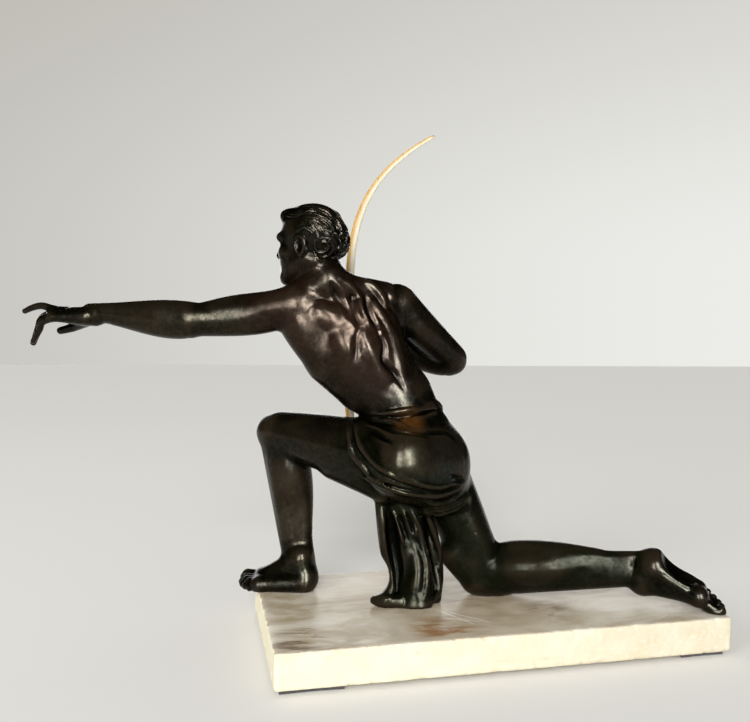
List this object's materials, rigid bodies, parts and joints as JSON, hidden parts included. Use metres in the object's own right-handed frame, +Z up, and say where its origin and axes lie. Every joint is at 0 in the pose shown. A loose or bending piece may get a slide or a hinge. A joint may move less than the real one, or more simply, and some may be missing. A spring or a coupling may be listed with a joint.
{
  "type": "kneeling archer statue",
  "caption": "Dark patinated cast figure of a kneeling archer with a horn bow in one fist, on a rectangular light stone base with felt pads.",
  "frame": {"origin": "middle of the whole object's box, at the underside of the felt pads", "axes": "+X along the base from the stretched hand towards the trailing foot, +Y away from the side in the picture, +Z up"},
  "size_m": [0.4042, 0.125, 0.3131],
  "materials": {
    "bronze": "dark brown to green-black patina, waxed and glossy, rubbed to red-brown on the back and shoulders",
    "horn": "smooth, tan along the outer edge and cream inside",
    "marble": "polished top, rough-sawn cream sides with chipped edges",
    "felt": "dark felt, rough cut"
  },
  "bodies": {
    "root": {"archer_figure": "bronze", "bow": "horn", "marble_base": "marble", "felt_pad_front_left": "felt", "felt_pad_front_right": "felt", "felt_pad_back_left": "felt", "felt_pad_back_right": "felt"}
  },
  "joints": []
}
